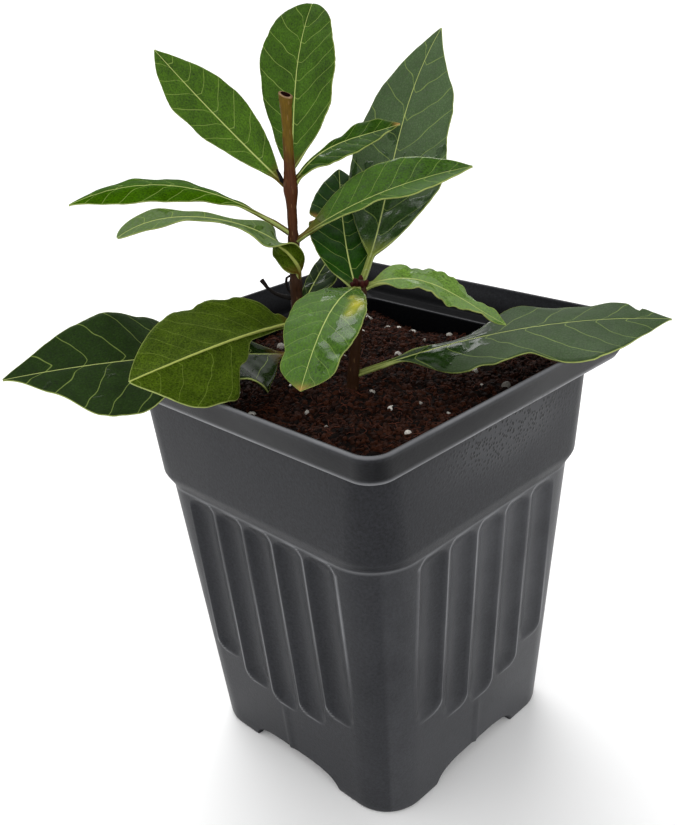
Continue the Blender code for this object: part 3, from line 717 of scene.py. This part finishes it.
def bark_finish():
    # Young bay bark: thin and smooth with a dull sheen, near black on its lower part, partly its own colour
    # and partly painted shade under the leaves, red brown half way up and olive towards the cut top, with
    # fine lengthwise lines and pale raised pores.
    mat, tree, shader = finish("young bay bark", Roughness=0.5, Specular_IOR_Level=0.1)
    where = add(tree, "ShaderNodeTexCoord").outputs["Object"]
    high = add(tree, SEPARATE, (where,)).outputs["Z"]
    long = add(tree, "ShaderNodeMapping", {"Vector": where, "Scale": (1, 1, 0.16)})
    lines = add(tree, NOISE, (long, 2600, 4))
    patch = add(tree, NOISE, (where, 320, 3))
    pores = add(tree, CELLS, (long, 1500))
    height = add(tree, MATH, (patch, 0.016, high), operation="MULTIPLY_ADD")
    colour = add(tree, MIX, (lines, "#1c100a", "#3f2716"))
    # the dark bark below these bands is partly painted shade under the leaves
    for bottom, top, dark, light in ((0.137, 0.153, "#2a140a", "#5a3218"),
                                     (0.163, 0.171, "#3c2e08", "#705614")):
        bark = add(tree, MIX, (lines, dark, light))
        colour = add(tree, MIX, (add(tree, RANGE, (height, bottom, top)), colour, bark))
    final = add(tree, MIX, (add(tree, RANGE, (pores, 0.12, 0.2, 0.4, 0)), colour, "#8a6a45"))
    bump = add(tree, BUMP, {"Height": lines, "Strength": 0.5, "Distance": 0.0002})
    plug(tree, shader, {"Base Color": final, "Normal": bump})
    return mat


def tube(path, radii, sides, relief, seed):
    """Points of rings round a path, with the bark's unevenness pressed into them."""
    path = [Vector(p) for p in path]
    points = []
    side = Vector((1, 0, 0))
    for k, (place, radius) in enumerate(zip(path, radii)):
        ahead = (path[min(k + 1, len(path) - 1)] - path[max(k - 1, 0)]).normalized()
        side = (side - ahead * side.dot(ahead)).normalized()
        other = ahead.cross(side)
        for i in range(sides):
            a = 2 * pi * i / sides
            out = side * cos(a) + other * sin(a)
            spot = place + out * radius
            lift = bumps(out.x * 2, out.y * 2, place.z * 0.35 + seed)
            lift += 0.5 * bumps(out.x * 5, out.y * 5, place.z * 1.1 + seed)
            points.append(spot + out * (relief * lift))
    return points


def tube_piece(name, path, radii, mat, sides, relief, seed=0):
    points = tube(path, radii, sides, relief, seed)
    obj = piece_from(name, points, stack_faces(len(path), sides), mat if isinstance(mat, list) else [mat])
    outward(obj)
    return obj


def cut_slanting(stem, cut):
    """Lean the main stem's cut end over and sink its pith; cut is the first point of the end's four rings."""
    top = STEMS["main_stem"]["high"]
    for v in stem.data.vertices:
        x, y, z = v.co / MM
        rise = min(1, max(0, (z - 168.4) / 1.8))
        sunk = (0, 0, 0.8, 2.4)[(v.index - cut) // STEM_SIDES] if v.index >= cut else 0
        v.co.z -= (rise * (0.45 * (x - top.x) + 0.03 * (y - top.y)) + sunk) * MM


def make_stems():
    bark = bark_finish()
    # The cut end: a thin ring of dry, bleached wood round a dark, rotted pith
    wood = shade_finish("bleached cut wood", "#6a5030", "#d2b894", 900, Roughness=0.8, Specular_IOR_Level=0.1)
    pith = shade_finish("rotted pith", "#120403", "#3c120d", 900, Roughness=0.9, Specular_IOR_Level=0.05)
    for stem, shape in STEMS.items():
        knots, thick = zip(*shape["radii"])
        heights = np.linspace(knots[0], knots[-1], 220 if stem == "main_stem" else 110)
        radii = [float(np.interp(z, knots, thick)) for z in heights]
        radii = np.convolve(np.pad(radii, 3, mode="edge"), np.ones(7) / 7, mode="valid")
        path = [stem_axis(stem, float(z)) for z in heights]
        if stem == "main_stem":
            # the cut end is hollow where the pith has dried out
            path += [stem_axis(stem, z) for z in (171.1, 171.15, 171.2, 171.25)]
            radii = [*radii, 1.35, 1.15, 1.05, 0.6]
        piece = tube_piece(stem + "_bark", path, radii, [bark, wood, pith], STEM_SIDES, 0.12)
        if stem == "main_stem":
            cut_slanting(piece, STEM_SIDES * len(heights))
            side = STEM_SIDES * (len(heights) - 1)
            for face in piece.data.polygons[side:-2]:
                face.material_index = 1 if face.index < side + 2 * STEM_SIDES else 2
            piece.data.polygons[-1].material_index = 2
        settle(piece, "bark", stem)
    # Dead and dried parts: near black and dull
    dead = shade_finish("dead twig bark", "#0b0908", "#3a2f28", 900, Roughness=0.8, Specular_IOR_Level=0.1)
    side_bits = (
        ("dead_twig", ((-13.6, -9.4, 123.2), (-14.7, -10.1, 123.3), (-16.8, -10.6, 123.5),
                       (-18.7, -11.3, 124.1), (-20.6, -11.8, 125.2), (-22.4, -12, 127)),
         (0.7, 0.65, 0.5, 0.45, 0.45, 0.62)),
        ("dried_stalk", ((-14, -9.7, 129), (-14.7, -10.4, 128.4), (-14.9, -10.6, 127.1),
                         (-14.6, -10.3, 125.4), (-13.9, -9.7, 124)), (0.25, 0.3, 0.35, 0.3, 0.25)),
        ("sleeping_bud", ((-13.6, -9.3, 151.2), (-14.1, -9.8, 152), (-14.4, -10.1, 153.2),
                          (-14.8, -10.5, 154.6)), (0.4, 0.5, 0.4, 0.2)),
    )
    for name, knots, radii in side_bits:
        path, thick = [], []
        for a, b, r, q in zip(knots, knots[1:], radii, radii[1:]):
            path += [Vector(a).lerp(Vector(b), k / 8) for k in range(8)]
            thick += [r + (q - r) * k / 8 for k in range(8)]
        piece = tube_piece(name + "_bark", [*path, Vector(knots[-1])], [*thick, radii[-1]], dead, 12, 0.12, 5)
        settle(piece, "bark", *([name] if name == "dead_twig" else []))
    # Scales of the side shoot's bud: red brown, dry and cupped round its tip
    scale = shade_finish("dry bud scale", "#2a0d0a", "#6a2a1e", 700, Roughness=0.7, Specular_IOR_Level=0.1)
    foot = stem_axis("side_shoot", 129.8)
    for k in range(7):
        a = 2 * pi * k / 7 + 0.4
        out = Vector((cos(a), sin(a), 0))
        lean, tall = (1.9, 2.2, 1.6)[k % 3], (1.7, 1.1, 2.3)[k % 3]
        path = [foot + out * (1.1 + (lean - 1.1) * q) + Vector((0, 0, tall * q ** 0.8))
                for q in np.linspace(0, 1, 9)]
        radii = [0.12 + 0.5 * sin(pi * (0.12 + 0.8 * q)) for q in np.linspace(0, 1, 9)]
        settle(tube_piece(f"bud_scale_{k}", path, radii, scale, 10, 0.1, k), "bark")


# Leaves

def blade_skin(name, greens, painted_sheen, shine, dull, lines, tones):
    """One side of a leaf: mottled greens under a fine net, side veins, midrib, rim and a browner stalk."""
    mat, tree, shader = finish(name, IOR=1.45)
    spot, vein = (add(tree, ATTRIBUTE, attribute_name=key).outputs["Vector"] for key in ("place", "veins"))
    damp = add(tree, ATTRIBUTE, attribute_name="film").outputs["Fac"]
    _, across, edge = add(tree, SEPARATE, (spot,)).outputs
    phase, share, mark = add(tree, SEPARATE, (vein,)).outputs
    cloud = add(tree, NOISE, (spot, 0.16, 5, 0.65))
    green = add(tree, MIX, (add(tree, RANGE, (cloud, 0.36, 0.66, 0.2, 0.8)), *greens))
    speck = add(tree, NOISE, (spot, 2.2, 2))
    fresh = add(tree, VECTOR, (green, add(tree, RANGE, (speck, 0.3, 0.7, 0.55, 1.5))))
    # water lies in patches with sharp edges: dark and glossy on them, and a painted grey sheen between them
    blot = add(tree, NOISE, {"Vector": spot, "Scale": 0.16, "Detail": 4, "Distortion": 0.8})
    level = add(tree, MATH, (blot, 1.6, damp), operation="MULTIPLY_ADD")
    wet = add(tree, RANGE, (level, 1.26, 1.34))
    # painted sheen: off the wet patches the green is mixed with grey
    dry = add(tree, MIX, (painted_sheen, fresh, "#7d8a70"))
    colour = add(tree, MIX, (wet, dry, add(tree, VECTOR, (fresh, 0.78))))
    net = add(tree, CELLS, (spot, 1.1), feature="DISTANCE_TO_EDGE")
    aside = add(tree, MATH, (phase, 0.5), operation="PINGPONG")
    near = add(tree, MATH, (across,), operation="ABSOLUTE")
    middle = add(tree, MATH, (near, add(tree, RANGE, (share, 0, 1, 1, 0.3))), operation="DIVIDE")
    shares = []
    for value, (full, gone, strength), tone in zip((net, aside, middle, edge, share), lines, tones):
        shares.append(add(tree, RANGE, (value, full, gone, strength, 0)))
        colour = add(tree, MIX, (shares[-1], colour, tone))
    # yellow where the mark is below 0, brown where it is above
    for sign, tone in ((-1, "#a8a01c"), (1, "#a07a45")):
        colour = add(tree, MIX, (add(tree, MATH, (mark, sign), use_clamp=True), colour, tone))
    rough = add(tree, RANGE, (wet, 0, 1, dull, 0.14))
    glint = add(tree, RANGE, (wet, 0, 1, shine, shine + 0.2))
    depth = add(tree, MATH, (wet, add(tree, NOISE, (spot, 0.25, 0))))
    raised = add(tree, MATH, (depth, 14, shares[0]), operation="MULTIPLY_ADD")
    bump = add(tree, BUMP, {"Height": raised, "Strength": 0.35, "Distance": 0.00003})
    plug(tree, shader, {"Base Color": colour, "Roughness": rough, "Specular IOR Level": glint,
                        "Normal": bump})
    return mat


def leaf_finish(name, shade, light, wet, painted_sheen, stalk, reach):
    """Finishes of a leaf's upper side, under side and margin; reach is how far up its stalk's colour goes."""
    # Bay leaf, upper side: leathery, with a waxy skin that mirrors light where water lies on it
    upper = blade_skin(f"waxy bay leaf {name}", (shade, light), painted_sheen, 0.01 + 0.12 * wet, 0.45,
                       ((0.01, 0.16, 0.5), (0.006, 0.024, 0.6 - 0.7 * wet), (0.12, 0.28, 0.85),
                        (0.05, 0.2, 0.5), (0.0, reach, 0.8)),
                       (light, "#98ac58", "#aeb96e", "#8c9a4c", stalk))
    # Under side: more olive and matt, its midrib raised and pale
    under = blade_skin(f"matt bay leaf underside {name}", ("#243402", "#3f520a"), 0, 0.03, 0.58,
                       ((0.01, 0.14, 0.12), (0.005, 0.02, 0.35), (0.26, 0.44, 0.9), (0.08, 0.25, 0.5),
                        (0.0, reach, 0.8)), ("#6f8034", "#7f9040", "#a3ab5a", "#8a964a", stalk))
    # Margin: a thin, hard edge, paler than the blade
    margin, tree, shader = finish(f"bay leaf margin {name}", Roughness=0.5, Specular_IOR_Level=0.15)
    where = add(tree, "ShaderNodeTexCoord").outputs["Object"]
    fleck = add(tree, NOISE, (where, 500, 3))
    plug(tree, shader, {"Base Color": add(tree, MIX, (fleck, "#6f7d38", "#a8b26a"))})
    return [upper, under, margin]


def eased(keys, s):
    if len(keys) == 1:
        return keys[0]
    x = s * (len(keys) - 1)
    k = min(int(x), len(keys) - 2)
    f = (1 - cos(pi * (x - k))) / 2
    return keys[k] * (1 - f) + keys[k + 1] * f


def half_width(leaf, s, v):
    power = log(0.5) / log(leaf.get("widest", 0.45))
    share = eased(leaf.get("left" if v < 0 else "right", (1,)), s)
    return leaf["width"] / 2 * share * max(0, sin(pi * s ** power)) ** leaf.get("full", 0.85)


def leaf_path(leaf, t):
    base, tip = stem_axis(leaf["stem"], leaf["base"]), Vector(leaf["tip"])
    chord = tip - base
    ahead = chord.normalized()
    up = (Vector((0, 0, 1)) - ahead * ahead.z).normalized()
    side = ahead.cross(up)
    lift, swing = leaf["lift"], leaf.get("swing", (0, 0))
    reach = leaf.get("reach", (1 / 3, 2 / 3))
    c1 = base + chord * reach[0] + up * lift[0] + side * swing[0]
    c2 = base + chord * reach[1] + up * lift[1] + side * swing[1]
    u = 1 - t
    point = base * u ** 3 + c1 * (3 * u * u * t) + c2 * (3 * u * t * t) + tip * t ** 3
    slope = (c1 - base) * (u * u) + (c2 - c1) * (2 * u * t) + (tip - c2) * (t * t)
    return point, slope.normalized(), up


def patches(table, s, v):
    """Strength of a leaf's patches at one place of its blade."""
    return sum(strength * exp(-((s - centre) / long) ** 2 - ((v - across) / wide) ** 2)
               for centre, across, long, wide, strength in table)


def make_leaf(name, leaf):
    seed = sum(ord(c) for c in name)
    stalk = leaf.get("stalk", 0.08)
    length = (Vector(leaf["tip"]) - stem_axis(leaf["stem"], leaf["base"])).length
    fold = radians(leaf.get("fold", 8))
    start = 0.5 / length
    columns = 2 * LEAF_SPREAD + 1
    sheet, place, veins = np.zeros((3, LEAF_ROWS, columns, 3))
    shares = np.zeros((LEAF_ROWS, columns))
    film = np.zeros((2, LEAF_ROWS, columns))
    spacing = length / 9
    nicks = {-1: leaf.get("nicks_left", ()), 1: leaf.get("nicks_right", ())}
    # the greens of each leaf carry painted shade and light besides its own colour: darkest on the lower
    # leaves
    shade, light, wetness, painted_sheen = leaf["tones"]
    for k in range(LEAF_ROWS):
        x = k / (LEAF_ROWS - 1)
        t = start + (1 - start) * (0.6 * x + 0.4 * (1 - cos(pi * x)) / 2)
        s = min(max((t - stalk) / (1 - stalk), 0), 1)
        point, ahead, up = leaf_path(leaf, t)
        normal = (up - ahead * ahead.dot(up)).normalized()
        side = ahead.cross(normal)
        roll = radians(eased(leaf["roll"], s))
        normal = normal * cos(roll) + side * sin(roll)
        side = ahead.cross(normal)
        tip = min(1, 8 * s * (1 - s))
        for i in range(columns):
            u = i / LEAF_SPREAD - 1
            side_v = -1 if u < 0 else 1
            blade = half_width(leaf, s, u)
            for centre, reach, depth in nicks[side_v]:
                blade *= 1 - depth * exp(-((s - centre) / reach) ** 2)
            v = abs(u) ** (1 + 0.6 * min(1, blade / 6)) * side_v
            edge_noise = Vector((s * 14, seed, 2.0 + 1.5 * side_v))
            wobble = 1 + tip * (0.02 * noise.noise(edge_noise) + 0.012 * noise.noise(edge_noise * 3))
            half = sqrt((blade * wobble) ** 2 + (STALK_HALF * (1 - 0.7 * t)) ** 2)
            across = half * v
            phase = (t * length - 0.62 * abs(across) - 0.3 * across ** 2 / max(blade, 1)) / spacing
            phase += 0.25 * max(-1, min(1, across / 1.2))
            phase += 0.4 * bumps(t * length / 11, seed * 1.3, side_v)
            phase += 0.12 * bumps(t * length / 3, across / 4, seed * 1.3)
            wave = leaf.get("wave", 0) * v * v * sin(5 * pi * s + (0 if v < 0 else 1.9))
            wave += 0.7 * abs(v) ** 4 * bumps(s * 9, seed + 3, 4.5 + 3.5 * side_v)
            wave *= min(1, 9 * s * (1 - s))
            quilt = 0.16 * sin(pi * (phase % 1)) ** 0.8 * (1 - abs(v) ** 3) * min(1, abs(across) / 1.5)
            quilt += 0.1 * bumps(t * length / 2.2, across / 2.2, seed)
            quilt *= min(1, blade / 5)
            bend = sqrt(v * v + 0.004) - 0.063
            sheet[k, i] = point + side * (across * cos(fold)) + normal * (blade * bend * sin(fold) + wave
                                                                         + quilt)
            place[k, i] = (t * length, across, half * (1 - abs(v)))
            veins[k, i] = (phase, s, patches(leaf.get("marks", ()), s, u))
            film[0, k, i] = wetness + patches(leaf.get("film", ()), s, u)
            shares[k, i] = s
    along = np.gradient(sheet, axis=0)
    sideways = np.gradient(sheet, axis=1)
    normals = np.cross(sideways, along)
    normals /= np.linalg.norm(normals, axis=2, keepdims=True)
    across = place[:, :, 1]
    stalky = np.exp(-(shares / 0.06) ** 2)
    rib = (0.65 * (1 - shares) ** 0.7 + 0.12) * np.exp(-(across / (0.45 - 0.2 * shares)) ** 2)
    rib += 0.35 * stalky
    top = 0.17 - 0.1 * np.exp(-(across / 0.3) ** 2) * (shares > 0) + 0.2 * stalky
    low = 0.17 + rib * (1 - 0.3 * stalky)
    upper = sheet + normals * top[..., None]
    lower = sheet - normals * low[..., None]
    points = np.concatenate([upper.reshape(-1, 3), lower.reshape(-1, 3)])
    count = LEAF_ROWS * columns
    # the upper side, the under side and the margin between them
    grid = np.arange(count).reshape(LEAF_ROWS, columns)
    quads = np.stack([grid[:-1, :-1], grid[:-1, 1:], grid[1:, 1:], grid[1:, :-1]], axis=-1).reshape(-1, 4)
    edge = np.concatenate([grid[0], grid[1:, -1], grid[-1, -2::-1], grid[-2:0:-1, 0]])
    after = np.roll(edge, -1)
    margin = np.stack([edge, after, after + count, edge + count], axis=-1)
    faces = np.concatenate([quads, quads[:, (0, 3, 2, 1)] + count, margin]).tolist()
    looks = [0] * len(quads) + [1] * len(quads) + [2] * len(margin)
    doubled = {"place": np.concatenate([place.reshape(-1, 3)] * 2),
               "veins": np.concatenate([veins.reshape(-1, 3)] * 2), "film": film.ravel()}
    stalk = "#5a4018" if leaf["stem"] == "main_stem" else "#6b7432"
    mats = leaf_finish(name.replace("leaf_", "").replace("_", " "), shade, light, wetness, painted_sheen, stalk,
                       0.2 if "upper" in name else 0.08)
    obj = piece_from(name + "_blade", points, faces, mats, looks, doubled)
    outward(obj)
    settle(obj, "leaf", name)


# Room and camera

def make_room():
    reach = 30000.0
    paper = finish("white studio paper", Roughness=0.9, Base_Color=(0.96, 0.96, 0.96, 1))[0]
    corners = [(-reach, -reach, 0), (reach, -reach, 0), (reach, reach, 0), (-reach, reach, 0)]
    piece_from("floor", corners, [(0, 1, 2, 3)], [paper])
    world = bpy.data.worlds.new("studio")
    bpy.context.scene.world = world
    world.use_nodes = True
    sky = world.node_tree.nodes["Background"]
    sky.inputs["Color"].default_value = (1, 1, 1, 1)
    sky.inputs["Strength"].default_value = 0.6
    bpy.context.scene.view_settings.view_transform = "Standard"
    for name, place, spread, power in (("key", (-0.5, 0.35, 0.8), 45, 1.9),
                                       ("fill", (0.9, -0.5, 0.5), 70, 1.3),
                                       ("front", (-0.45, -0.85, 0.75), 60, 0.7)):
        light = bpy.data.lights.new(name, "SUN")
        light.angle = radians(spread)
        light.energy = power
        lamp = bpy.data.objects.new(name, light)
        lamp.location = place
        lamp.rotation_euler = Vector(place).to_track_quat("Z", "Y").to_euler()
        bpy.context.scene.collection.objects.link(lamp)


def make_camera():
    """The photograph's view: 45 degrees round, 25 degrees down and tilted a little."""
    azimuth, elevation, tilt = radians(45.35), radians(24.78), radians(-3.45)
    target, distance = Vector((-2.66, -1.51, 88.83)) * MM, 0.25522
    back = Vector((sin(azimuth) * cos(elevation), -cos(azimuth) * cos(elevation), sin(elevation)))
    level = Vector((cos(azimuth), sin(azimuth), 0))
    steep = back.cross(level)
    right = level * cos(tilt) + steep * sin(tilt)
    up = steep * cos(tilt) - level * sin(tilt)
    data = bpy.data.cameras.new("camera")
    data.sensor_width = 36
    data.lens = 42.98
    data.shift_x, data.shift_y = -0.0213, 0.0152
    data.clip_start = 0.01
    camera = bpy.data.objects.new("camera", data)
    turn = Matrix((right, up, back)).transposed().to_4x4()
    camera.matrix_world = Matrix.Translation(target + back * distance) @ turn
    bpy.context.scene.collection.objects.link(camera)
    bpy.context.scene.camera = camera


make_pot()
make_mix()
make_stems()
for stem, leaves in (("main_stem", MAIN_LEAVES), ("side_shoot", SHOOT_LEAVES)):
    for name, leaf in leaves.items():
        make_leaf(name, dict(leaf, stem=stem))
make_room()
make_camera()
